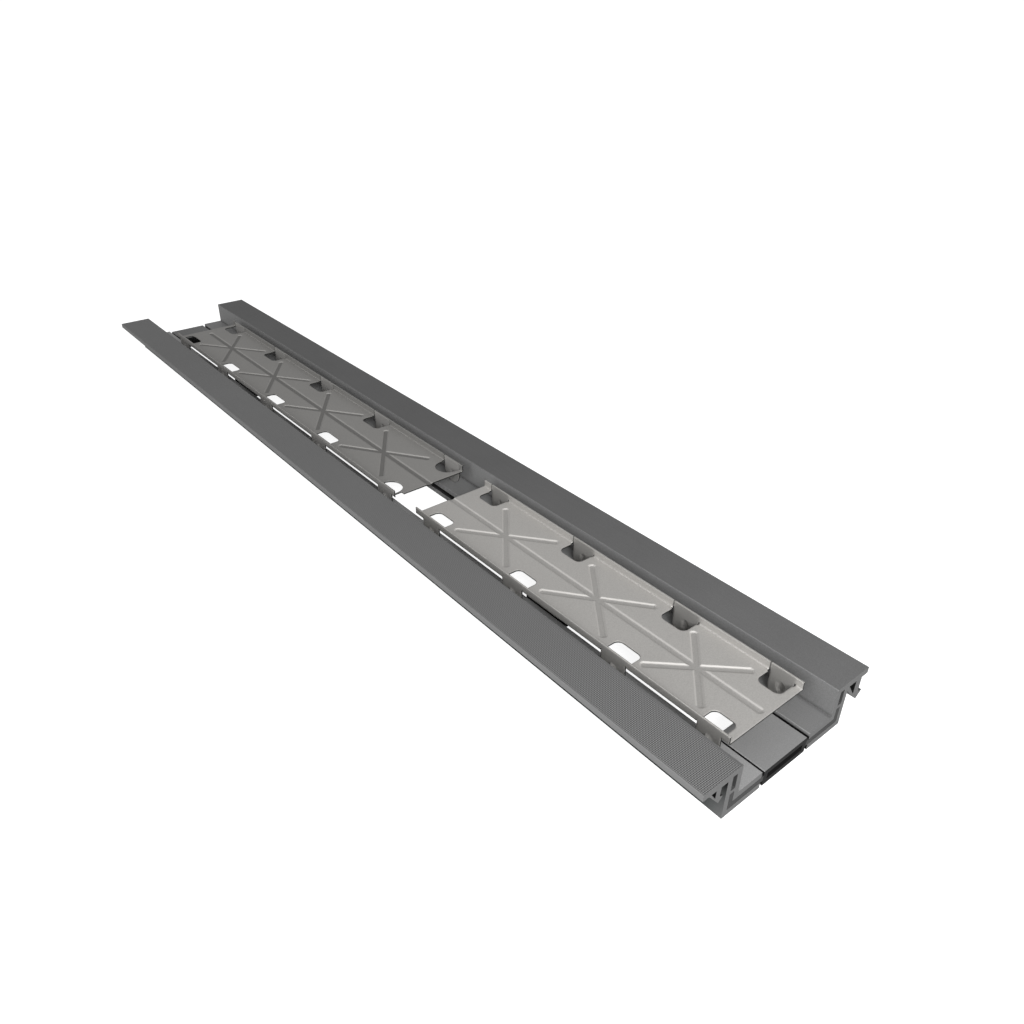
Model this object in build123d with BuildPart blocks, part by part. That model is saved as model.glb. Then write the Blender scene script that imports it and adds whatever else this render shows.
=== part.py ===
from build123d import *
import os
from math import atan2, degrees, hypot

# A linear floor channel: two extruded edge rails held apart by four cross connectors,
# with two folded sheet covers that stand on the rails' shelves.
# X runs across the channel, Y along it and Z up, from the middle of the bed it stands on.

# Frame
channel_length = 1000.0
near_end = -channel_length / 2
frame_height = 38.0
flange_edge = 85.0  # outer edge of each rail, from the middle of the channel
wall_inside = 49.0  # the rails' inner walls
shelf_edge = 25.0
plate = frame_height / 8  # bottom plate, slot and shelf are all this high
flange_plate = 5.2
edge_radius = 0.4

# Rail section, from the inner wall outwards and from the bottom up
skin = 4.4  # each of the two walls
chamber = 4.2  # hollow between them
chamber_in = wall_inside + skin
chamber_out = chamber_in + chamber
wall_outside = chamber_out + skin
slot_low = plate
slot_high = 2 * plate
shelf_top = 3 * plate
web_low = shelf_top + skin
web_high = web_low + 2.8
flange_under = frame_height - flange_plate
chamber_top = flange_under + 1.0

# Snap hooks under the flanges, both with the barb on their right
right_leg = flange_edge - 6.7
right_leg_width = 6.6
right_ledge = flange_under - 12.9
right_tip = right_ledge - 6.4
right_barb_reach = 4.8
right_brace_bend = (wall_outside + 5.2, right_ledge + 3.9)
right_brace_root = flange_under - 3.1
left_leg = -wall_outside - 6.1
left_leg_width = 4.5
left_ledge = flange_under - 8.0
left_tip = left_ledge - 5.1
left_barb_reach = 2.9
left_brace_root = 5.7  # in from the flange's edge
barb_drop = 1.0
tip_inset = 0.7
brace_width = 2.2
window_rise = 1.4  # the window's low corner, over the barb's ledge

# Cross connectors
connector_length = 38.0
connector_half_width = 22.4
connector_height = 13.0
connector_wall = 4.0
connector_corner = 0.6
connector_end_round = 1.6
play = 0.25  # round a connector's tongues in the rails
connector_steps = {
    "cross_connector_1": 0.0,
    "cross_connector_2": 191.0,
    "cross_connector_3": 750.0,
    "cross_connector_4": channel_length - connector_length,
}  # from the near end

# Covers, each folded from one sheet
sheet = 1.2
cover_half_width = 38.5
cover_wall = 7.2
bend_radius = 2.0
cover_base = frame_height - cover_wall
cover_floor = cover_base + sheet
wall_face = cover_half_width - sheet
foot_length = cover_base - shelf_top
foot_corner = 5.0
foot_root = 3.0
relief_width = 1.0
relief_height = 2.2
corner_notch = (9.0, 3.9)

# What is pressed into the sheet
rib_width = 6.6
rib_depth = 0.9
rib_taper = 65.0
rib_shoulder = 0.4  # what the boss under a rib has over it on each side
star_half_width = 28.0
star_share = 0.32  # the star's half length, of the bay
pad_length = 11.0
pad_width = 8.0
pad_height = 1.2
pad_taper = 60.0
corner_share = 0.27  # of a pressed shape's width, cut off at its corners

os.makedirs("parts", exist_ok=True)


def rail_section(side):
    """The double wall, shelf, slot and flange of a rail: side is 1 for the right one, -1 for the left."""
    outline = [
        (side * shelf_edge, 0),
        (side * wall_outside, 0),
        (side * wall_outside, flange_under),
        (side * flange_edge, flange_under),
        (side * flange_edge, frame_height),
        (side * wall_inside, frame_height),
        (side * wall_inside, shelf_top),
        (side * shelf_edge, shelf_top),
    ]
    Polygon(*outline, align=None)
    slot = [
        (side * shelf_edge, slot_low),
        (side * chamber_out, slot_low),
        (side * chamber_out, web_low),
        (side * chamber_in, web_low),
        (side * chamber_in, slot_high),
        (side * shelf_edge, slot_high),
    ]
    Polygon(*slot, align=None, mode=Mode.SUBTRACT)
    with Locations((side * (chamber_in + chamber / 2), (web_high + chamber_top) / 2)):
        Rectangle(chamber, chamber_top - web_high, mode=Mode.SUBTRACT)


def hook_section(leg, leg_width, ledge, tip, barb_reach, brace, window):
    """A leg under the flange, the brace behind it and the barb at its foot, round a small window."""
    outline = [
        *brace,
        (leg, flange_under),
        (leg, ledge),
        (leg + barb_reach, ledge - barb_drop),
        (leg - tip_inset, tip),
    ]
    Polygon(*outline, align=None)
    inside = leg - leg_width
    hole = [(window, flange_under), (inside, flange_under), (inside, ledge + window_rise)]
    Polygon(*hole, align=None, mode=Mode.SUBTRACT)


def rail(name, side, **hook):
    """A whole rail: its section and its hook's, run along the channel."""
    with BuildPart() as piece:
        with BuildSketch(Plane.XZ.offset(-near_end)) as section:
            rail_section(side)
            fillet(section.vertices(), radius=edge_radius)
        with BuildSketch(Plane.XZ.offset(-near_end)):
            hook_section(**hook)
        extrude(amount=-channel_length)
    piece.part.label = name
    export_step(piece.part, f"parts/{name}.step")


def connector_section():
    """A flat tube with a tongue on each side that turns up behind the rail's shelf."""
    head_width = chamber - 2 * play
    head_height = web_low - slot_low - 2 * play
    reach = chamber_out - play
    tongue_height = slot_high - slot_low - 2 * play
    tongue_low = slot_low + play
    middle = connector_height / 2
    with Locations((0, middle)):
        RectangleRounded(2 * connector_half_width, connector_height, connector_corner)
    with Locations((0, tongue_low + tongue_height / 2)):
        Rectangle(2 * reach, tongue_height)
    with Locations(*[(side * (reach - head_width / 2), tongue_low + head_height / 2) for side in (-1, 1)]):
        Rectangle(head_width, head_height)
    bore_width = 2 * (connector_half_width - connector_wall)
    bore_height = connector_height - 2 * connector_wall
    with Locations((0, middle)):
        RectangleRounded(bore_width, bore_height, connector_corner, mode=Mode.SUBTRACT)


def connector(name, step):
    """A cross connector: those inside the frame have their top edges rounded."""
    with BuildPart() as piece:
        with BuildSketch(Plane.XZ.offset(-near_end - step)):
            connector_section()
        extrude(amount=-connector_length)
        if 0 < step < channel_length - connector_length:
            top = piece.faces().filter_by(Axis.Z).sort_by(Axis.Z)[-1]
            fillet(top.edges().filter_by(Axis.X), radius=connector_end_round)
    piece.part.label = name
    export_step(piece.part, f"parts/{name}.step")


def folded_channel(start, length):
    """A cover's flat base with its two low walls."""
    with BuildSketch(Plane.XZ.offset(-start)) as fold:
        with BuildLine():
            FilletPolyline(
                (-cover_half_width, frame_height),
                (-cover_half_width, cover_base),
                (cover_half_width, cover_base),
                (cover_half_width, frame_height),
                radius=bend_radius,
            )
            offset(amount=sheet, side=Side.LEFT)
        make_face()
    extrude(fold.sketch, amount=-length)


def foot(side, middle, width, corner):
    """A tongue cut from the base and bent down in line with the wall: it leaves a window of its shape."""
    with BuildSketch(Plane.XY.offset(cover_base - sheet)) as window:
        with Locations((side * (wall_face - foot_length / 2), middle)):
            Rectangle(foot_length, width)
        fillet(window.vertices().sort_by(Axis.X, reverse=side < 0)[:2], radius=corner)
    extrude(window.sketch, amount=3 * sheet, mode=Mode.SUBTRACT)
    outer = side * cover_half_width
    sheet_plane = Plane.YZ.offset(min(outer, outer - side * sheet))
    relief_offset = (width + relief_width) / 2
    relief_middle = cover_base + relief_height / 2
    with BuildSketch(sheet_plane) as reliefs:
        with Locations((middle - relief_offset, relief_middle), (middle + relief_offset, relief_middle)):
            Rectangle(relief_width, relief_height)
    extrude(reliefs.sketch, amount=2 * sheet, both=True, mode=Mode.SUBTRACT)
    foot_height = foot_length + foot_root
    with BuildSketch(sheet_plane) as blade:
        with Locations((middle, shelf_top + foot_height / 2)):
            Rectangle(width, foot_height)
        fillet(blade.vertices().group_by(Axis.Y)[0], radius=corner)
    extrude(blade.sketch, amount=sheet)
    press_pad(side, middle)


def press_pad(side, middle):
    """The upright pad pressed out of a foot, with its hollow on the inside."""
    height = side * (shelf_top + foot_length / 2)
    outer = side * cover_half_width
    along, outward = (0, 1, 0), (side, 0, 0)
    with BuildSketch(Plane(origin=(outer, 0, 0), x_dir=along, z_dir=outward)) as pad:
        with Locations((middle, height)):
            Rectangle(pad_width, pad_length)
        chamfer(pad.vertices(), length=corner_share * pad_width)
    extrude(pad.sketch, amount=pad_height, taper=pad_taper)
    with BuildSketch(Plane(origin=(outer - side * sheet, 0, 0), x_dir=along, z_dir=outward)) as hollow:
        with Locations((middle, height)):
            Rectangle(pad_width - sheet, pad_length - sheet)
        chamfer(hollow.vertices(), length=corner_share * pad_width)
    extrude(hollow.sketch, amount=pad_height, taper=pad_taper, mode=Mode.SUBTRACT)


def press_rib(middle, length, angle):
    """A rib pressed down into the base, with its boss underneath."""
    for level, margin, mode in ((cover_base, 2 * rib_shoulder, Mode.ADD), (cover_floor, 0, Mode.SUBTRACT)):
        with BuildSketch(Plane.XY.offset(level)) as rib:
            with Locations((0, middle)):
                Rectangle(length + margin, rib_width + margin, rotation=angle)
            chamfer(rib.vertices(), length=corner_share * rib_width)
        extrude(rib.sketch, amount=-rib_depth, taper=rib_taper, mode=mode)


def cover(name, start, inset, pitches, far_inset, foot_width, near_foot, rib_near, rib_far, notched=False):
    """A whole cover: pitches are the steps between feet, near_foot the first one's width and corner."""
    middles = [start + inset]
    for pitch in pitches:
        middles.append(middles[-1] + pitch)
    end = middles[-1] + far_inset
    with BuildPart() as piece:
        folded_channel(start, end - start)
        for side in (-1, 1):
            foot(side, middles[0], *near_foot)
            for middle in middles[1:]:
                foot(side, middle, foot_width, foot_corner)
        for middle, pitch in zip(middles, pitches):
            reach = star_share * pitch
            arm = 2 * hypot(star_half_width, reach)
            slant = degrees(atan2(reach, star_half_width))
            for angle in (slant, -slant):
                press_rib(middle + pitch / 2, arm, angle)
        rib_start = start + rib_near
        rib_end = end - rib_far
        press_rib((rib_start + rib_end) / 2, rib_end - rib_start, 90)
        if notched:
            width, depth = corner_notch
            with Locations((-wall_face + width / 2, start + depth / 2, cover_base + sheet)):
                Box(width, depth, 2 * sheet + 0.2, mode=Mode.SUBTRACT)
        split(bisect_by=Plane(origin=(0, start, 0), z_dir=(0, 1, 0)), keep=Keep.TOP)
        split(bisect_by=Plane(origin=(0, end, 0), z_dir=(0, 1, 0)), keep=Keep.BOTTOM)
    piece.part.label = name
    export_step(piece.part, f"parts/{name}.step")


rail(
    "right_rail",
    side=1,
    leg=right_leg,
    leg_width=right_leg_width,
    ledge=right_ledge,
    tip=right_tip,
    barb_reach=right_barb_reach,
    brace=[right_brace_bend, (wall_outside, right_brace_root), (wall_outside, flange_under)],
    window=wall_outside + 1.6,
)
rail(
    "left_rail",
    side=-1,
    leg=left_leg,
    leg_width=left_leg_width,
    ledge=left_ledge,
    tip=left_tip,
    barb_reach=left_barb_reach,
    brace=[(left_brace_root - flange_edge, flange_under)],
    window=left_brace_root + brace_width - flange_edge,
)
for name, step in connector_steps.items():
    connector(name, step)

past_end = -rib_width
cover(
    "front_cover",
    start=near_end + 18.3,
    inset=15.7,
    pitches=[84.0, 110.0, 110.0],
    far_inset=23.0,
    foot_width=23.5,
    near_foot=(19.0, foot_corner),
    rib_near=3.2,
    rib_far=past_end,
)
cover(
    "rear_cover",
    start=near_end + 396.0,
    inset=17.0,
    pitches=[127.0, 120.0, 120.0, 120.0],
    far_inset=22.0,
    foot_width=29.0,
    near_foot=(23.5, 11.6),
    rib_near=past_end,
    rib_far=12.0,
    notched=True,
)
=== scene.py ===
"""Channel drain: the finishes of its rails, cross connectors and covers, and the stage it is shown on."""

import math

import bpy
from mathutils import Matrix, Vector


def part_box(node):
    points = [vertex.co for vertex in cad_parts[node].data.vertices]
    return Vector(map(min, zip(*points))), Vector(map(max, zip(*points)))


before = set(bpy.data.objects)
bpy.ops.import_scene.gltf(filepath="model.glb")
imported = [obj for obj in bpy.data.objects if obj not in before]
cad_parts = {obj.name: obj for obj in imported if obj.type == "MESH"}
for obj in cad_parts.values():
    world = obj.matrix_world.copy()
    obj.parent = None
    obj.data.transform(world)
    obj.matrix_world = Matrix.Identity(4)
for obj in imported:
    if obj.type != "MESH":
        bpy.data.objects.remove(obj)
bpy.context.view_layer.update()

bl_info = {
    "name": "Channel Drain",
    "version": (1, 0, 0),
    "blender": (4, 5, 0),
    "location": "View3D > Sidebar > Drain",
    "description": "Finishes the rails, connectors and covers of a floor channel and sets up its stage",
    "category": "Object",
}

CONNECTORS = [f"cross_connector_{n}" for n in range(1, 5)]
CONNECTOR_BOXES = [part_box(name) for name in CONNECTORS]

# Rail section, from the middle of the channel outwards
RAIL_LOW, RAIL_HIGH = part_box("right_rail")
RAIL_LIP = RAIL_LOW.x
FLANGE_EDGE = RAIL_HIGH.x
FLANGE_WIDTH = 0.036
SKIN = 0.0044  # each of a rail's two walls
CHAMBER = 0.0042  # the hollow between them
INNER_WALL = FLANGE_EDGE - FLANGE_WIDTH
CHAMBER_IN = INNER_WALL + SKIN
CHAMBER_OUT = CHAMBER_IN + CHAMBER
WALL_OUTSIDE = CHAMBER_OUT + SKIN

# Rail section, from the bottom up
PLATE = 0.00475
SLOT_LOW = PLATE
SLOT_HIGH = 2 * PLATE
SHELF_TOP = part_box("front_cover")[0].z
RAIL_TOP = RAIL_HIGH.z
FLANGE_PLATE = 0.0052
FLANGE_UNDER = RAIL_TOP - FLANGE_PLATE
CHAMBER_TOP = FLANGE_UNDER + 0.001

# Connectors and covers
CONNECTOR_SIDE = 0.0224
CONNECTOR_TOP = 0.013
SHEET = 0.0012
COVER_SIDE = 0.0385
COVER_WALL = 0.0072
COVER_BASE = RAIL_TOP - COVER_WALL
COVER_FLOOR = COVER_BASE + SHEET
GROOVE_DEPTH = 0.0009
GROOVE_BOTTOM = COVER_FLOOR - GROOVE_DEPTH

# Middle and width of each cover's feet along the channel, of which the nearest stands by itself
FRONT_FEET = [(-0.466, 0.019)] + [(-0.382 + 0.11 * n, 0.0235) for n in range(3)]
REAR_FEET = [(-0.087, 0.0235)] + [(0.04 + 0.12 * n, 0.029) for n in range(4)]

# Fine work of the finishes
KNURL_BORDER = 0.0022
PEBBLE = 0.0001
SHADE_LINE_WIDTH = 0.0011
FADE_MIDDLE = -0.3  # where the rails' painted light passes from its near tone to its far one
FADE_LENGTH = 0.36

# Masks reach a little past the faces that they cover, and fade over a little
MARGIN = 0.0003
SOFT = 0.0002

# How strongly the grain's speckle, lines and clouds break up each finish
WALL_GRAIN = (1.3, 0.25, 0.3)
TREAD_GRAIN = (1.3, 0.3, 0.4)
EDGE_GRAIN = (1.0, 0.2, 0.3)
SAWN_GRAIN = (0.9, 0.0, 0.4)
CONNECTOR_GRAIN = (0.9, 0.2, 0.3)
DARK_GRAIN = (0.6, 0.0, 0.3)
SHEET_GRAIN = (0.9, 0.0, 0.2)
SIDE_GRAIN = (0.7, 0.0, 0.2)

# Tones of single places, as shares of the colour round them; the flange rim is only darker, and the other
# tones are painted light and painted shade
RAIL_TONES = {
    "near wall light": 1.03,
    "far wall light": 1.25,
    "lip_highlight": 1.4,
    "rim": 0.66,
    "shelf corner shade": 0.3,
    "shaded side low": 1.9,
    "shaded side high": 0.2,
    "side lit by the end": 1.8,
    "chamber": 2.0,
    "gap shadow by a connector": 0.05,
    "knurl shade": 0.3,
    "knurl light": 2.1,
}
CONNECTOR_EDGE_HIGHLIGHT = 1.5
SHEET_LIGHT_AND_SHADE = {
    "wall": 0.9,
    "groove shade": 0.4,
    "lit flank": 1.5,
    "shade line": 0.6,
    "pad": 1.15,
}
PAD_FLANK_SHADES = {"Near": 0.75, "Far": 0.55, "Down": 0.4}
FAR_TREAD_LIGHT = {"left_rail": 1.15, "right_rail": 0.78}
GROOVE_SHADES = {"front": 0.25, "rear": 0.65}

RAIL_METALLIC = 0.5
CONNECTOR_METALLIC = 0.4
CONNECTOR_GLINT = 0.05
SHEET_METALLIC = 0.6


# Node helpers


def new_material(name):
    """An empty node material, its tree and its Principled shader, joined to the output."""
    material = bpy.data.materials.new(name)
    material.use_nodes = True
    tree = material.node_tree
    tree.nodes.clear()
    shader = tree.nodes.new("ShaderNodeBsdfPrincipled")
    output = tree.nodes.new("ShaderNodeOutputMaterial")
    tree.links.new(shader.outputs["BSDF"], output.inputs["Surface"])
    return material, tree, shader


def feed(tree, socket, value):
    """Joins a socket to an input, or sets the input to a plain value."""
    if isinstance(value, bpy.types.NodeSocket):
        tree.links.new(value, socket)
    else:
        socket.default_value = value


def math_node(tree, operation, *values, clamp=False):
    """The output of a Math node whose inputs are sockets or plain numbers."""
    node = tree.nodes.new("ShaderNodeMath")
    node.operation = operation
    node.use_clamp = clamp
    for socket, value in zip(node.inputs, values):
        feed(tree, socket, value)
    return node.outputs[0]


def mix_colours(tree, share, first, second):
    """The colour that lies that share of the way from the first to the second."""
    node = tree.nodes.new("ShaderNodeMix")
    node.data_type = "RGBA"
    feed(tree, node.inputs[0], share)
    feed(tree, node.inputs[6], first)
    feed(tree, node.inputs[7], second)
    return node.outputs[2]


def shade_of(colour, factor):
    """A colour made darker or lighter by a factor."""
    return [min(1.0, part * factor) for part in colour[:3]] + [1.0]


def object_axes(tree):
    """Sockets for the Object coordinates as a vector, and its X, Y and Z."""
    coordinates = tree.nodes.new("ShaderNodeTexCoord")
    parts = tree.nodes.new("ShaderNodeSeparateXYZ")
    tree.links.new(coordinates.outputs["Object"], parts.inputs[0])
    return coordinates.outputs["Object"], *parts.outputs


def face_turn(tree):
    """Sockets for how far a face is turned along X, Y and Z."""
    geometry = tree.nodes.new("ShaderNodeNewGeometry")
    parts = tree.nodes.new("ShaderNodeSeparateXYZ")
    tree.links.new(geometry.outputs["True Normal"], parts.inputs[0])
    return parts.outputs


def opposite(tree, mask):
    """1 where a mask is 0, and 0 where it is 1."""
    return math_node(tree, "SUBTRACT", 1.0, mask)


def both(tree, first, second):
    """1 where both masks are 1, and 0 where either is 0."""
    return math_node(tree, "MULTIPLY", first, second)


def any_of(tree, masks):
    """The strongest of several masks."""
    strongest = masks[0]
    for mask in masks[1:]:
        strongest = math_node(tree, "MAXIMUM", strongest, mask)
    return strongest


def above(tree, value, edge, softness=SOFT):
    """0 below an edge and 1 above it, with a ramp of that softness centred on it."""
    offset = math_node(tree, "SUBTRACT", value, edge - softness / 2)
    return math_node(tree, "DIVIDE", offset, softness, clamp=True)


def below(tree, value, edge, softness=SOFT):
    """1 below an edge and 0 above it, with a ramp of that softness centred on it."""
    return opposite(tree, above(tree, value, edge, softness))


def between(tree, value, low, high, softness=SOFT):
    """1 from one edge to another and 0 outside them, with soft ramps."""
    return math_node(tree, "SUBTRACT", above(tree, value, low, softness), above(tree, value, high, softness))


def noise(tree, vector, scale, detail, roughness=0.5):
    """A noise texture's value on a vector."""
    node = tree.nodes.new("ShaderNodeTexNoise")
    tree.links.new(vector, node.inputs["Vector"])
    feed(tree, node.inputs["Scale"], scale)
    node.inputs["Detail"].default_value = detail
    node.inputs["Roughness"].default_value = roughness
    return node.outputs[0]


def new_group(name, inputs, outputs):
    """An empty shader group with named float inputs, given with their defaults, and named float outputs."""
    group = bpy.data.node_groups.new(name, "ShaderNodeTree")
    for label, default in inputs.items():
        socket = group.interface.new_socket(label, in_out="INPUT", socket_type="NodeSocketFloat")
        socket.default_value = default
    for label in outputs:
        group.interface.new_socket(label, in_out="OUTPUT", socket_type="NodeSocketFloat")
    return group, group.nodes.new("NodeGroupInput").outputs, group.nodes.new("NodeGroupOutput").inputs


def place_group(tree, name, values=None):
    """The outputs of a node group placed in a material, with its own values or sockets for its inputs."""
    node = tree.nodes.new("ShaderNodeGroup")
    node.node_tree = bpy.data.node_groups[name]
    for label, value in (values or {}).items():
        feed(tree, node.inputs[label], value)
    return node.outputs


def bump(tree, height, strength, distance, normal=None):
    """The normal that a height gives, over another normal if there is one."""
    node = tree.nodes.new("ShaderNodeBump")
    node.inputs["Strength"].default_value = strength
    node.inputs["Distance"].default_value = distance
    tree.links.new(height, node.inputs["Height"])
    if normal is not None:
        tree.links.new(normal, node.inputs["Normal"])
    return node.outputs[0]


def soft_edges(tree, radius):
    """The normal of a surface whose edges are eased to a radius."""
    node = tree.nodes.new("ShaderNodeBevel")
    node.samples = 6
    node.inputs["Radius"].default_value = radius
    return node.outputs[0]


# Shared surface effects


def build_metal_grain():
    """Fine speckle, long die lines along Y and large soft clouds, each centred on 0."""
    group, given, result = new_group(
        "metal_grain",
        {"Speckle scale": 1400.0, "Line scale": 900.0, "Line stretch": 0.02, "Cloud scale": 14.0},
        ["Speckle", "Lines", "Clouds"],
    )
    vector, x, y, z = object_axes(group)
    squeezed = group.nodes.new("ShaderNodeCombineXYZ")
    group.links.new(x, squeezed.inputs[0])
    group.links.new(math_node(group, "MULTIPLY", y, given["Line stretch"]), squeezed.inputs[1])
    group.links.new(z, squeezed.inputs[2])
    patterns = {
        "Speckle": noise(group, vector, given["Speckle scale"], 3.0),
        "Lines": noise(group, squeezed.outputs[0], given["Line scale"], 3.0, 0.6),
        "Clouds": noise(group, vector, given["Cloud scale"], 2.0),
    }
    for label, pattern in patterns.items():
        group.links.new(math_node(group, "SUBTRACT", pattern, 0.5), result[label])


def build_edge_line():
    """A mask that is 1 on a long edge along Y, given by its distance from the middle and its height."""
    group, given, result = new_group(
        "edge_line", {"Edge x": INNER_WALL, "Edge z": RAIL_TOP, "Width": 0.0012, "Strength": 1.0}, ["Mask"]
    )
    _, x, _, z = object_axes(group)
    across = math_node(group, "SUBTRACT", math_node(group, "ABSOLUTE", x), given["Edge x"])
    up = math_node(group, "SUBTRACT", z, given["Edge z"])
    squares = [math_node(group, "MULTIPLY", part, part) for part in (across, up)]
    distance = math_node(group, "SQRT", math_node(group, "ADD", *squares))
    nearness = math_node(group, "DIVIDE", distance, given["Width"])
    line = math_node(group, "SUBTRACT", 1.0, nearness, clamp=True)
    group.links.new(math_node(group, "MULTIPLY", line, given["Strength"]), result["Mask"])


def build_facing():
    """Masks that are 1 on faces turned across, along and upright, past a given slope."""
    group, given, result = new_group("facing", {"Slope": 0.5, "Gain": 8.0}, ["Across", "Along", "Upright"])
    for label, turn in zip(("Across", "Along", "Upright"), face_turn(group)):
        size = math_node(group, "ABSOLUTE", turn)
        over = math_node(group, "SUBTRACT", size, given["Slope"])
        group.links.new(math_node(group, "MULTIPLY", over, given["Gain"], clamp=True), result[label])


def build_flank_light():
    """Masks that are 1 on the sloping flanks of a pressing, by the way that they are turned, for the painted
    light and shade on them; Toward and Away are taken against a fixed light from the near left.
    """
    labels = ["Toward", "Away", "Near", "Far", "Down"]
    group, given, result = new_group("flank_light", {"Gain": 2.4}, labels)
    across, along, up = face_turn(group)
    slant = math_node(group, "MULTIPLY", across, 0.45)
    away = math_node(group, "MULTIPLY_ADD", along, 0.9, slant)
    toward, near, down = (math_node(group, "MULTIPLY", turn, -1.0) for turn in (away, along, up))
    for label, turn in zip(labels, (toward, away, near, along, down)):
        group.links.new(math_node(group, "MULTIPLY", turn, given["Gain"], clamp=True), result[label])


def build_diamond_knurl():
    """Crossed rows of small pyramids: their height, and painted light and shade for their flanks."""
    group, given, result = new_group("diamond_knurl", {"Pitch": 0.0025}, ["Height", "Flank light"])
    _, x, y, _ = object_axes(group)
    ramps = []
    waves = []
    for combined in (math_node(group, "SUBTRACT", x, y), math_node(group, "ADD", x, y)):
        turns = math_node(group, "DIVIDE", combined, given["Pitch"])
        part = math_node(group, "SUBTRACT", math_node(group, "FRACT", turns), 0.5)
        centred = math_node(group, "ABSOLUTE", part)
        ramps.append(math_node(group, "SUBTRACT", 1.0, math_node(group, "MULTIPLY", centred, 2.0)))
        waves.append(math_node(group, "COSINE", math_node(group, "MULTIPLY", turns, 2 * math.pi)))
    group.links.new(math_node(group, "MULTIPLY", *ramps), result["Height"])
    rows = math_node(group, "MULTIPLY_ADD", waves[1], 0.65, 0.1)
    group.links.new(math_node(group, "MULTIPLY_ADD", waves[0], rows, 0.5, clamp=True), result["Flank light"])


# Materials


def mottled(tree, grain, colour, strengths):
    """A colour broken up by the grain's speckle, lines and clouds, each with its own strength."""
    speckle, lines, clouds = strengths
    spread = math_node(tree, "MULTIPLY", grain["Speckle"], speckle)
    for label, strength in (("Lines", lines), ("Clouds", clouds)):
        spread = math_node(tree, "MULTIPLY_ADD", grain[label], strength, spread)
    share = math_node(tree, "ADD", spread, 0.5, clamp=True)
    return mix_colours(tree, share, shade_of(colour, 0.75), shade_of(colour, 1.25))


def edge_line(tree, edge_x, edge_z, width, strength):
    """A mask of a given strength along an edge, faded out at a given width from it."""
    values = {"Edge x": edge_x, "Edge z": edge_z, "Width": width, "Strength": strength}
    return place_group(tree, "edge_line", values)["Mask"]


def finish_metal(tree, shader, grain, roughness, metallic, normal=None, spread=0.3, pebble=0.15):
    """Gloss that the grain spreads, and a fine pebble, over a normal if there is one."""
    rough = math_node(tree, "MULTIPLY_ADD", grain["Speckle"], spread, roughness, clamp=True)
    tree.links.new(rough, shader.inputs["Roughness"])
    feed(tree, shader.inputs["Metallic"], metallic)
    tree.links.new(bump(tree, grain["Speckle"], pebble, PEBBLE, normal), shader.inputs["Normal"])


def rail_metal(name, colours, roughness, far_tread_light, knurl_pitch=None):
    """Extruded metal: a darker tread on top, painted highlights on its long edges, plain cut ends, painted
    shade in its hollows and under its flange, and painted light that changes along its length.
    """
    material, tree, shader = new_material(name)
    grain = place_group(tree, "metal_grain")
    _, x, along, height = object_axes(tree)
    across = math_node(tree, "ABSOLUTE", x)
    onward = above(tree, along, FADE_MIDDLE, FADE_LENGTH)
    side = under_flange(tree, across, height)
    base = rail_walls(tree, grain, colours["wall"], across, height, onward)
    # Painted shade on the outer side under the flange, with painted light near the end.
    base = mix_colours(tree, side, base, shaded_side(tree, colours, along, height))
    base = shade_recesses(tree, base, colours, across, along, height)
    on_top = above(tree, height, RAIL_TOP - MARGIN, MARGIN)
    # Painted light along the length: the left tread grows lighter and the right one darker farther on.
    near_tread = mottled(tree, grain, colours["tread"], TREAD_GRAIN)
    further = mottled(tree, grain, shade_of(colours["tread"], far_tread_light), TREAD_GRAIN)
    tread = mix_colours(tree, onward, near_tread, further)
    normal = None
    if knurl_pitch:
        tread, normal = knurled(tree, tread, colours["tread"], knurl_pitch, across, onward, on_top)
    base = mix_colours(tree, on_top, base, tread)
    # Painted highlights along the inner and outer top edges.
    for edge, width in ((INNER_WALL, 0.0007), (FLANGE_EDGE, 0.0008)):
        base = mix_colours(tree, edge_line(tree, edge, RAIL_TOP, width, 0.6), base, colours["edge"])
    cut = place_group(tree, "facing")["Along"]
    base = mix_colours(tree, cut, base, mottled(tree, grain, colours["end"], SAWN_GRAIN))
    tree.links.new(base, shader.inputs["Base Color"])
    bare_side = both(tree, side, opposite(tree, cut))
    finish_metal(tree, shader, grain, roughness, math_node(tree, "MAXIMUM", bare_side, RAIL_METALLIC), normal)
    return material


def rail_walls(tree, grain, colour, across, height, onward):
    """A rail's walls: an inner face with painted light that grows lighter farther on, a painted highlight on
    the lip and a darker flange rim.
    """
    base = mottled(tree, grain, colour, WALL_GRAIN)
    near_face, far_face, lip_highlight, rim = (
        shade_of(colour, RAIL_TONES[place]) for place in ("near wall light", "far wall light", "lip_highlight", "rim")
    )
    # Painted light: the inner face over the shelf grows lighter farther on.
    inner_face = mix_colours(
        tree, onward, mottled(tree, grain, near_face, WALL_GRAIN), mottled(tree, grain, far_face, WALL_GRAIN)
    )
    over_shelf = above(tree, height, SHELF_TOP + 0.0004, 0.0004)
    on_face = both(tree, between(tree, across, INNER_WALL - MARGIN, INNER_WALL + MARGIN), over_shelf)
    base = mix_colours(tree, on_face, base, inner_face)
    # Painted highlight on the shelf's inner edge.
    on_lip = below(tree, across, RAIL_LIP + MARGIN)
    base = mix_colours(tree, on_lip, base, mottled(tree, grain, lip_highlight, EDGE_GRAIN))
    on_rim = between(tree, across, FLANGE_EDGE - SOFT, FLANGE_EDGE + 0.001)
    return mix_colours(tree, on_rim, base, mottled(tree, grain, rim, EDGE_GRAIN))


def under_flange(tree, across, height):
    """A mask that is 1 on a rail's outer wall and hook, under the flange."""
    outside = above(tree, across, WALL_OUTSIDE - MARGIN, MARGIN)
    return both(tree, outside, below(tree, height, FLANGE_UNDER, 0.0006))


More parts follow.
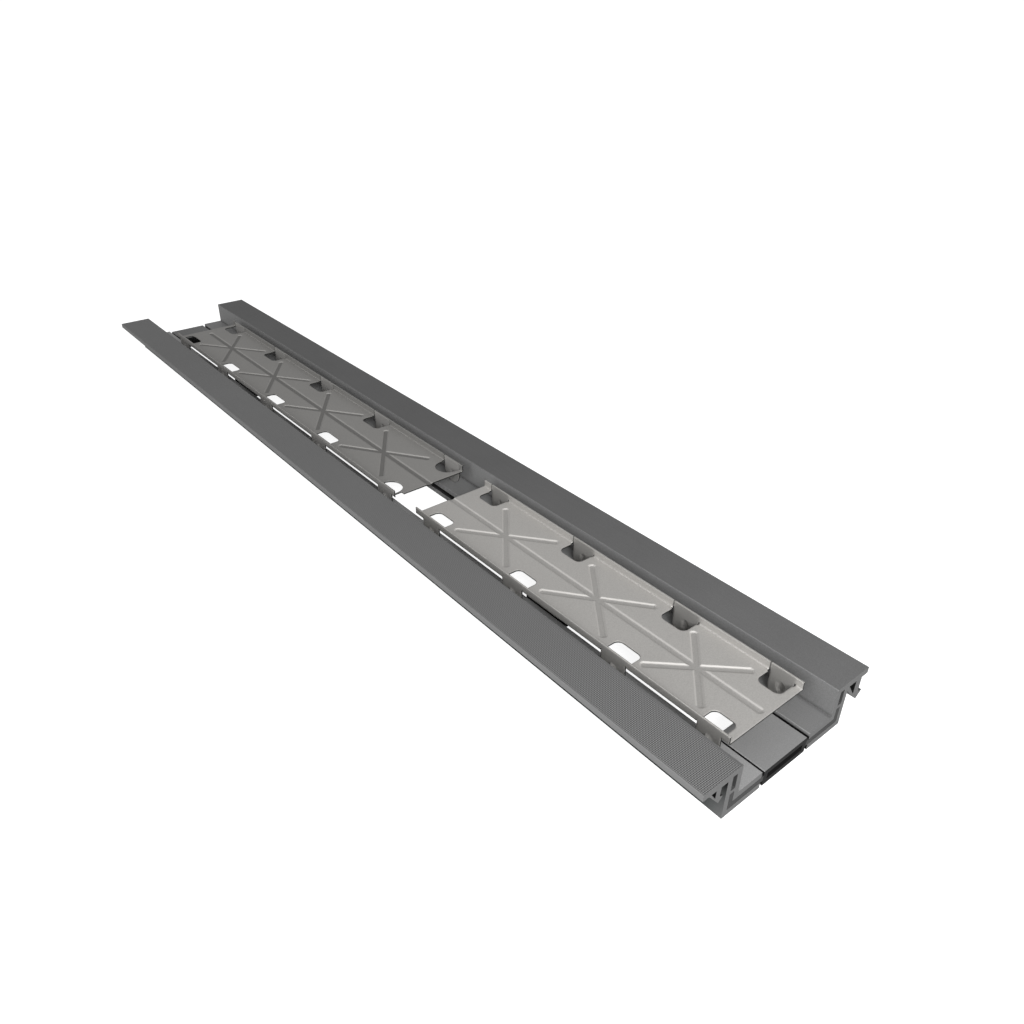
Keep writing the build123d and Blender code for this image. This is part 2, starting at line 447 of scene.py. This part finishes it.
def shaded_side(tree, colours, along, height):
    """The side of a rail in painted shade, darkest under the flange, with painted light low down near its
    end.
    """
    rise = math_node(tree, "DIVIDE", height, FLANGE_UNDER, clamp=True)
    low, high = (shade_of(colours["side"], RAIL_TONES[place]) for place in ("shaded side low", "shaded side high"))
    by_end = below(tree, along, RAIL_LOW.y + 0.008, 0.016)
    lit = both(tree, by_end, opposite(tree, rise))
    lit_colour = shade_of(colours["end"], RAIL_TONES["side lit by the end"])
    return mix_colours(tree, lit, mix_colours(tree, rise, low, high), lit_colour)


def shade_recesses(tree, base, colours, across, along, height):
    """Painted shade in the corner at the back of the shelf, in the rail's hollows and in its gaps to the
    connectors.
    """
    # Painted shade in the corner at the back of the shelf.
    corner_shade = edge_line(tree, INNER_WALL, SHELF_TOP, 0.0028, 0.6)
    base = mix_colours(tree, corner_shade, base, shade_of(colours["wall"], RAIL_TONES["shelf corner shade"]))
    # Painted shade in the chambers and in the slot.
    chambers, slot = hollows(tree, across, height)
    base = mix_colours(tree, chambers, base, shade_of(colours["hollow"], RAIL_TONES["chamber"]))
    base = mix_colours(tree, slot, base, colours["hollow"])
    # Painted shadow in the gaps beside the connectors.
    gap_shadows = beside_connectors(tree, across, along, height)
    return mix_colours(tree, gap_shadows, base, shade_of(colours["hollow"], RAIL_TONES["gap shadow by a connector"]))


def hollows(tree, across, height):
    """Masks that are 1 in a rail's two chambers, and in its slot for the connectors."""
    in_wall = between(tree, across, CHAMBER_IN - MARGIN, CHAMBER_OUT + MARGIN)
    chambers = both(tree, in_wall, between(tree, height, SLOT_LOW, CHAMBER_TOP))
    in_plate = between(tree, across, 0.0, CHAMBER_OUT + MARGIN)
    slot = both(tree, in_plate, between(tree, height, SLOT_LOW - SOFT / 2, SLOT_HIGH + SOFT / 2))
    return chambers, slot


def beside_connectors(tree, across, along, height):
    """A mask that is 1 low on a rail's inner edge where a connector stands close to it, for the painted
    shadow in the gap.
    """
    spans = [between(tree, along, low.y, high.y) for low, high in CONNECTOR_BOXES]
    close = below(tree, across, RAIL_LIP + 2 * MARGIN, 0.0004)
    low_down = below(tree, height, CONNECTOR_TOP - 0.0009, 0.0012)
    return both(tree, any_of(tree, spans), both(tree, close, low_down))


def knurled(tree, tread, colour, pitch, across, onward, on_top):
    """The tread with a knurl inside its borders, drawn in painted light and shade that grows fainter farther
    on, and the normal that the knurl gives.
    """
    inner = above(tree, across, INNER_WALL + KNURL_BORDER)
    outer = above(tree, across, FLANGE_EDGE - KNURL_BORDER / 3)
    field = both(tree, on_top, math_node(tree, "SUBTRACT", inner, outer))
    knurl = place_group(tree, "diamond_knurl", {"Pitch": pitch})
    knurl_shade, knurl_light = (shade_of(colour, RAIL_TONES[place]) for place in ("knurl shade", "knurl light"))
    points = mix_colours(tree, knurl["Flank light"], knurl_shade, knurl_light)
    clearness = math_node(tree, "SUBTRACT", 0.95, math_node(tree, "MULTIPLY", onward, 0.55))
    tread = mix_colours(tree, both(tree, field, clearness), tread, points)
    return tread, bump(tree, both(tree, knurl["Height"], field), 0.3, 0.0003)


def connector_metal(name, colours, roughness):
    """Extruded metal of the connectors, with painted shade on its sides, cut ends, tongues and all that lies
    below its top face, and a painted highlight along its long top edges.
    """
    material, tree, shader = new_material(name)
    grain = place_group(tree, "metal_grain")
    _, x, _, height = object_axes(tree)
    across = math_node(tree, "ABSOLUTE", x)
    base = mottled(tree, grain, colours["top"], CONNECTOR_GRAIN)
    # Painted highlight along the long top edges.
    line = edge_line(tree, CONNECTOR_SIDE, CONNECTOR_TOP, 0.0008, 0.5)
    base = mix_colours(tree, line, base, shade_of(colours["top"], CONNECTOR_EDGE_HIGHLIGHT))
    # Painted shade on the sides, the cut ends and all that lies below the top face.
    facing = place_group(tree, "facing", {"Slope": 0.85})
    low_down = below(tree, height, CONNECTOR_TOP - 0.0018, 0.0004)
    shaded = any_of(tree, [facing["Across"], facing["Along"], low_down])
    base = mix_colours(tree, shaded, base, mottled(tree, grain, colours["end"], DARK_GRAIN))
    # Painted shade on the tongues inside the rails' slots.
    tongue = mottled(tree, grain, colours["tongue"], DARK_GRAIN)
    base = mix_colours(tree, above(tree, across, CONNECTOR_SIDE + MARGIN), base, tongue)
    tree.links.new(base, shader.inputs["Base Color"])
    shader.inputs["Specular IOR Level"].default_value = CONNECTOR_GLINT
    finish_metal(tree, shader, grain, roughness, CONNECTOR_METALLIC)
    return material


def satin_sheet(name, colours, feet, groove_shade, roughness, softness):
    """Satin sheet: warm grey with a fine pebble, faint clouds and eased pressings, with painted light and
    shade on its walls, feet, ribs and pads, and painted shade on its cut edges.
    """
    material, tree, shader = new_material(name)
    grain = place_group(tree, "metal_grain", {"Speckle scale": 1100.0})
    facing = place_group(tree, "facing")
    flank = place_group(tree, "flank_light")
    _, x, along, height = object_axes(tree)
    floor = colours["floor"]
    # Painted shade: faces turned across, such as the far wall, are drawn darker than the base.
    wall = mottled(tree, grain, shade_of(floor, SHEET_LIGHT_AND_SHADE["wall"]), SHEET_GRAIN)
    base = mix_colours(tree, facing["Across"], mottled(tree, grain, floor, SHEET_GRAIN), wall)
    # Painted light and shade: the near wall, the feet and the walls above them take the side tone.
    side = both(tree, facing["Across"], outer_side(tree, x, along, height, feet))
    base = mix_colours(tree, side, base, mottled(tree, grain, colours["side"], SIDE_GRAIN))
    base = shade_grooves(tree, base, floor, groove_shade, flank, facing["Upright"], height)
    base = shade_pads(tree, base, colours["side"], flank, math_node(tree, "ABSOLUTE", x), height)
    # Painted shade lines upright in the far wall beside the feet.
    shade_lines = wall_shade_lines(tree, x, along, height, feet)
    base = mix_colours(tree, shade_lines, base, shade_of(colours["edge"], SHEET_LIGHT_AND_SHADE["shade line"]))
    # Painted shade on the cut edges.
    base = mix_colours(tree, facing["Along"], base, colours["edge"])
    tree.links.new(base, shader.inputs["Base Color"])
    eased = soft_edges(tree, softness)
    finish_metal(tree, shader, grain, roughness, SHEET_METALLIC, eased, spread=0.15, pebble=0.1)
    return material


def outer_side(tree, x, along, height, feet):
    """A mask that is 1 on the near wall, on all feet and on the walls straight above them."""
    near = below(tree, x, 0.0, 0.001)
    on_feet = below(tree, height, COVER_BASE, 0.0004)
    over_feet = [
        between(tree, along, middle - width / 2, middle + width / 2, 0.002) for middle, width in feet
    ]
    return any_of(tree, [near, on_feet, *over_feet])


def shade_grooves(tree, base, floor, groove_shade, flank, upright, height):
    """The ribs pressed into the sheet: painted shade in their bottoms and on flanks turned away from the
    light, and painted light on flanks turned toward it.
    """
    sunk = both(tree, between(tree, height, COVER_BASE + SOFT / 2, COVER_FLOOR), upright)
    risen = above(tree, height, GROOVE_BOTTOM + MARGIN)
    bottom = both(tree, sunk, opposite(tree, risen))
    away = math_node(tree, "MULTIPLY", both(tree, flank["Away"], sunk), 0.6)
    dark = math_node(tree, "MULTIPLY", any_of(tree, [bottom, away]), groove_shade)
    base = mix_colours(tree, dark, base, shade_of(floor, SHEET_LIGHT_AND_SHADE["groove shade"]))
    lit = both(tree, flank["Toward"], both(tree, sunk, risen))
    return mix_colours(tree, lit, base, shade_of(floor, SHEET_LIGHT_AND_SHADE["lit flank"]))


def shade_pads(tree, base, colour, flank, across, height):
    """The pads pressed out of the feet: painted light on their face, and painted shade on their flanks by the
    way that they are turned.
    """
    raised = above(tree, across, COVER_SIDE + SOFT)
    pad = both(tree, raised, below(tree, height, COVER_BASE))
    base = mix_colours(tree, pad, base, shade_of(colour, SHEET_LIGHT_AND_SHADE["pad"]))
    for label, tone in PAD_FLANK_SHADES.items():
        base = mix_colours(tree, both(tree, flank[label], pad), base, shade_of(colour, tone))
    return base


def wall_shade_lines(tree, x, along, height, feet):
    """A mask for a painted shade line upright in the far wall at the far side of each foot."""
    foot_ends = [middle + width / 2 for middle, width in feet]
    lines = [between(tree, along, end, end + SHADE_LINE_WIDTH) for end in foot_ends]
    far_wall = above(tree, x, COVER_SIDE - SHEET - 0.0004)
    on_wall = both(tree, far_wall, above(tree, height, COVER_FLOOR, 0.0004))
    return both(tree, any_of(tree, lines), math_node(tree, "MULTIPLY", on_wall, 0.75))


def dress(node_name, material):
    """Gives a CAD node its material."""
    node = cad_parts[node_name]
    node.data.materials.clear()
    node.data.materials.append(material)


# Settings


def grey(level):
    """A neutral colour of a given lightness."""
    return (level, level, level, 1.0)


def colour_setting(name, description, default):
    """A colour that the user can change."""
    return bpy.props.FloatVectorProperty(
        name=name, description=description, subtype="COLOR", size=4, min=0.0, max=1.0, default=default
    )


class DrainMetalSettings(bpy.types.PropertyGroup):
    """Colours and gloss of the extruded metal."""

    # The left rail's walls are painted lighter than the right one's: painted light on the same metal.
    right_colour: colour_setting("Right wall colour", "Walls and shelf of the right rail", grey(0.23))
    left_colour: colour_setting("Left wall colour", "Walls and shelf of the left rail", grey(0.36))
    # Painted shade on the rails' outer sides under the flange.
    shaded_side_colour: colour_setting("Outer side colour", "Outer sides of the rails", (0.05, 0.057, 0.056, 1.0))
    # Painted shade in the rails' chambers and slots.
    hollow_colour: colour_setting("Hollow colour", "Inside the rails' chambers and slots", grey(0.05))
    left_tread: colour_setting("Left tread colour", "Knurled top face of the left rail", grey(0.145))
    right_tread: colour_setting("Right tread colour", "Top face of the right rail", grey(0.16))
    end_colour: colour_setting("End colour", "Cut ends of the rails", grey(0.15))
    # Painted highlight on the rails' long top edges.
    edge_highlight_and_shade: colour_setting("Edge colour", "Long edges that catch the light", grey(0.26))
    # The nearest connector's top is painted lighter than the others: painted light.
    near_connector: colour_setting("Near connector colour", "Top of the nearest connector", grey(0.265))
    connector_colour: colour_setting("Connector colour", "Tops of the other connectors", grey(0.195))
    # Painted shade on the connectors' sides, cut ends and tongues.
    connector_shade_colour: colour_setting("Connector end colour", "Sides and cut ends", grey(0.015))
    tongue_shade_colour: colour_setting("Tongue colour", "Tongues in the rails' slots", grey(0.06))
    roughness: bpy.props.FloatProperty(
        name="Roughness", description="Roughness of the extruded metal", subtype="FACTOR",
        min=0.0, max=1.0, default=0.5,
    )
    knurl_pitch: bpy.props.FloatProperty(
        name="Knurl pitch", description="Step of the left rail's diamond knurl", subtype="DISTANCE",
        unit="LENGTH", min=0.0005, max=0.01, default=0.0025,
    )


class DrainCoverSettings(bpy.types.PropertyGroup):
    """Colour and gloss of the covers' sheet."""

    # The rear cover's sheet is painted darker than the front one's, and each cover's near wall and feet take
    # a tone of their own: painted light and shade on the same sheet.
    front_colour: colour_setting(
        "Front sheet colour", "Sheet of the front cover", (0.465, 0.453, 0.435, 1.0)
    )
    front_side: colour_setting(
        "Front side colour", "Near wall and feet of the front cover", (0.318, 0.31, 0.297, 1.0)
    )
    rear_colour: colour_setting(
        "Rear sheet colour", "Sheet of the rear cover", (0.3, 0.294, 0.284, 1.0)
    )
    rear_side: colour_setting(
        "Rear side colour", "Near wall and feet of the rear cover", (0.38, 0.372, 0.36, 1.0)
    )
    # Painted shade on the sheet's cut edges and on the lines in its far wall.
    edge_highlight_and_shade: colour_setting("Cut edge colour", "Cut edges of the sheet", (0.05, 0.05, 0.048, 1.0))
    roughness: bpy.props.FloatProperty(
        name="Roughness", description="Roughness of the satin sheet", subtype="FACTOR",
        min=0.0, max=1.0, default=0.52,
    )
    softness: bpy.props.FloatProperty(
        name="Softness", description="Radius that the pressed shapes are eased to", subtype="DISTANCE",
        unit="LENGTH", min=0.0, max=0.01, default=0.0016,
    )


class DrainStageSettings(bpy.types.PropertyGroup):
    """Floor, light and camera."""

    floor_size: bpy.props.FloatProperty(
        name="Floor size", description="Side of the floor's square", subtype="DISTANCE",
        unit="LENGTH", min=1.0, max=200.0, default=120.0,
    )
    floor_colour: colour_setting("Floor colour", "Colour of the floor", grey(0.4))
    floor_glow: bpy.props.FloatProperty(
        name="Floor glow", description="Whiteness that the floor has in the picture",
        min=0.0, max=2.0, default=0.9,
    )
    room_light: bpy.props.FloatProperty(
        name="Room light", description="Strength of the even light from all round",
        min=0.0, max=2.0, default=0.38,
    )
    front_light: bpy.props.FloatProperty(
        name="Front light", description="Softbox over the near end", subtype="POWER",
        unit="POWER", min=0.0, max=200.0, default=40.0,
    )
    side_light: bpy.props.FloatProperty(
        name="Side light", description="Softbox low on the left", subtype="POWER",
        unit="POWER", min=0.0, max=200.0, default=16.0,
    )
    camera_place: bpy.props.FloatVectorProperty(
        name="Camera place", description="Where the camera stands", subtype="TRANSLATION",
        size=3, default=(-0.37129, -0.67735, 0.42258),
    )
    camera_aim: bpy.props.FloatVectorProperty(
        name="Camera direction", description="The way the camera looks", subtype="DIRECTION",
        size=3, default=(0.53906, 0.65703, -0.52699),
    )
    camera_roll: bpy.props.FloatProperty(
        name="Camera roll", description="Turn of the camera about its line of sight", subtype="ANGLE",
        unit="ROTATION", default=math.radians(0.404),
    )
    focal_length: bpy.props.FloatProperty(
        name="Focal length", description="Lens of the camera", subtype="DISTANCE_CAMERA",
        unit="CAMERA", min=10.0, max=200.0, default=29.637,
    )


# Operators


def rail_colours(metal, wall, tread):
    """A rail's colours, by the place that each is for."""
    return {
        "wall": wall,
        "side": metal.shaded_side_colour,
        "hollow": metal.hollow_colour,
        "tread": tread,
        "end": metal.end_colour,
        "edge": metal.edge_highlight_and_shade,
    }


class DRAIN_OT_surface_effects(bpy.types.Operator):
    """Build the node groups that the metal finishes share"""

    bl_idname = "drain.surface_effects"
    bl_label = "Surface Effects"

    def execute(self, context):
        build_metal_grain()
        build_edge_line()
        build_facing()
        build_flank_light()
        build_diamond_knurl()
        return {"FINISHED"}


class DRAIN_OT_left_rail(bpy.types.Operator):
    """Finish the left rail in mill metal with a diamond knurl on its tread"""

    bl_idname = "drain.left_rail"
    bl_label = "Left Rail"

    def execute(self, context):
        metal = context.scene.drain_metal
        colours = rail_colours(metal, metal.left_colour, metal.left_tread)
        far_tread_light = FAR_TREAD_LIGHT["left_rail"]
        finish = rail_metal("knurled_rail_metal", colours, metal.roughness, far_tread_light, metal.knurl_pitch)
        dress("left_rail", finish)
        return {"FINISHED"}


class DRAIN_OT_right_rail(bpy.types.Operator):
    """Finish the right rail in plain mill metal"""

    bl_idname = "drain.right_rail"
    bl_label = "Right Rail"

    def execute(self, context):
        metal = context.scene.drain_metal
        colours = rail_colours(metal, metal.right_colour, metal.right_tread)
        far_tread_light = FAR_TREAD_LIGHT["right_rail"]
        dress("right_rail", rail_metal("plain_rail_metal", colours, metal.roughness, far_tread_light))
        return {"FINISHED"}


class DRAIN_OT_connectors(bpy.types.Operator):
    """Finish the cross connectors in matt metal with painted shade on their sides and cut ends"""

    bl_idname = "drain.connectors"
    bl_label = "Cross Connectors"

    def execute(self, context):
        metal = context.scene.drain_metal
        colours = {"end": metal.connector_shade_colour, "tongue": metal.tongue_shade_colour}
        near_colours = {"top": metal.near_connector, **colours}
        far_colours = {"top": metal.connector_colour, **colours}
        dress(CONNECTORS[0], connector_metal("near_connector_metal", near_colours, metal.roughness))
        finish = connector_metal("connector_metal", far_colours, metal.roughness)
        for name in CONNECTORS[1:]:
            dress(name, finish)
        return {"FINISHED"}


class DRAIN_OT_covers(bpy.types.Operator):
    """Finish both covers in satin sheet"""

    bl_idname = "drain.covers"
    bl_label = "Covers"

    def execute(self, context):
        sheet = context.scene.drain_cover
        looks = {
            "front": (sheet.front_colour, sheet.front_side, FRONT_FEET),
            "rear": (sheet.rear_colour, sheet.rear_side, REAR_FEET),
        }
        for name, (floor, side, feet) in looks.items():
            colours = {"floor": floor, "side": side, "edge": sheet.edge_highlight_and_shade}
            shade = GROOVE_SHADES[name]
            finish = satin_sheet(f"{name}_sheet", colours, feet, shade, sheet.roughness, sheet.softness)
            dress(f"{name}_cover", finish)
        return {"FINISHED"}


class DRAIN_OT_stage(bpy.types.Operator):
    """Lay the floor, set the lights and place the camera"""

    bl_idname = "drain.stage"
    bl_label = "Stage"

    def execute(self, context):
        stage = context.scene.drain_stage
        self.lay_floor(stage)
        self.light_room(context, stage)
        self.set_softboxes(context, stage)
        self.place_camera(context, stage)
        return {"FINISHED"}

    def lay_floor(self, stage):
        """A pale floor that the camera sees as white, large enough to reach past the picture."""
        bpy.ops.object.select_all(action="DESELECT")
        bpy.ops.mesh.primitive_plane_add(size=stage.floor_size, location=(0.0, 0.0, 0.0))
        floor = bpy.context.object
        floor.name = "floor"
        material, tree, shader = new_material("pale_floor")
        shader.inputs["Base Color"].default_value = stage.floor_colour
        shader.inputs["Roughness"].default_value = 0.9
        shader.inputs["Specular IOR Level"].default_value = 0.1
        shader.inputs["Emission Color"].default_value = (1.0, 1.0, 1.0, 1.0)
        seen = tree.nodes.new("ShaderNodeLightPath").outputs["Is Camera Ray"]
        glow = math_node(tree, "MULTIPLY", seen, stage.floor_glow)
        tree.links.new(glow, shader.inputs["Emission Strength"])
        floor.data.materials.append(material)

    def light_room(self, context, stage):
        """Even light from all round, with a white backdrop behind the floor."""
        world = bpy.data.worlds.new("soft_room")
        world.use_nodes = True
        tree = world.node_tree
        background = tree.nodes["Background"]
        background.inputs["Color"].default_value = (1.0, 1.0, 1.0, 1.0)
        seen = tree.nodes.new("ShaderNodeLightPath").outputs["Is Camera Ray"]
        tree.links.new(math_node(tree, "MAXIMUM", seen, stage.room_light), background.inputs["Strength"])
        context.scene.world = world
        context.scene.view_settings.view_transform = "Standard"

    def set_softboxes(self, context, stage):
        """One softbox over the near end and one low on the left, each with its place, aim, size and power."""
        softboxes = {
            "front_softbox": ((-0.6, -1.5, 0.95), (0.0, -0.3, 0.1), 0.7, stage.front_light),
            "side_softbox": ((-2.0, -0.3, 0.7), (0.0, -0.1, 0.08), 1.2, stage.side_light),
        }
        for name, (place, aim, size, power) in softboxes.items():
            data = bpy.data.lights.new(name, "AREA")
            data.shape = "SQUARE"
            data.size = size
            data.energy = power
            lamp = bpy.data.objects.new(name, data)
            lamp.location = place
            lamp.rotation_euler = (Vector(aim) - Vector(place)).to_track_quat("-Z", "Y").to_euler()
            lamp.visible_camera = False
            context.scene.collection.objects.link(lamp)

    def place_camera(self, context, stage):
        """The camera that sees the drain from where the photograph shows it."""
        data = bpy.data.cameras.new("photo_camera")
        data.sensor_width = 36.0
        data.lens = stage.focal_length
        data.clip_end = 200.0
        camera = bpy.data.objects.new("photo_camera", data)
        level = Vector(stage.camera_aim).to_track_quat("-Z", "Y").to_matrix().to_4x4()
        roll = Matrix.Rotation(stage.camera_roll, 4, "Z")
        camera.matrix_world = Matrix.Translation(Vector(stage.camera_place)) @ level @ roll
        context.scene.collection.objects.link(camera)
        context.scene.camera = camera


class DRAIN_PT_panel(bpy.types.Panel):
    """The drain's pieces and stage in the sidebar"""

    bl_idname = "DRAIN_PT_panel"
    bl_label = "Channel Drain"
    bl_space_type = "VIEW_3D"
    bl_region_type = "UI"
    bl_category = "Drain"

    def draw(self, context):
        layout = self.layout
        for settings in (context.scene.drain_metal, context.scene.drain_cover, context.scene.drain_stage):
            column = layout.column(align=True)
            for key in settings.__annotations__:
                column.prop(settings, key)
        for operator in OPERATORS:
            layout.operator(operator.bl_idname)


SETTINGS = {
    "drain_metal": DrainMetalSettings,
    "drain_cover": DrainCoverSettings,
    "drain_stage": DrainStageSettings,
}
OPERATORS = [
    DRAIN_OT_surface_effects,
    DRAIN_OT_left_rail,
    DRAIN_OT_right_rail,
    DRAIN_OT_connectors,
    DRAIN_OT_covers,
    DRAIN_OT_stage,
]


def register():
    for name, group in SETTINGS.items():
        bpy.utils.register_class(group)
        setattr(bpy.types.Scene, name, bpy.props.PointerProperty(type=group))
    for cls in (*OPERATORS, DRAIN_PT_panel):
        bpy.utils.register_class(cls)


def unregister():
    for cls in (DRAIN_PT_panel, *reversed(OPERATORS)):
        bpy.utils.unregister_class(cls)
    for name, group in SETTINGS.items():
        delattr(bpy.types.Scene, name)
        bpy.utils.unregister_class(group)


def main():
    register()
    bpy.ops.drain.surface_effects()
    bpy.ops.drain.left_rail()
    bpy.ops.drain.right_rail()
    bpy.ops.drain.connectors()
    bpy.ops.drain.covers()
    bpy.ops.drain.stage()


if __name__ == "__main__":
    main()
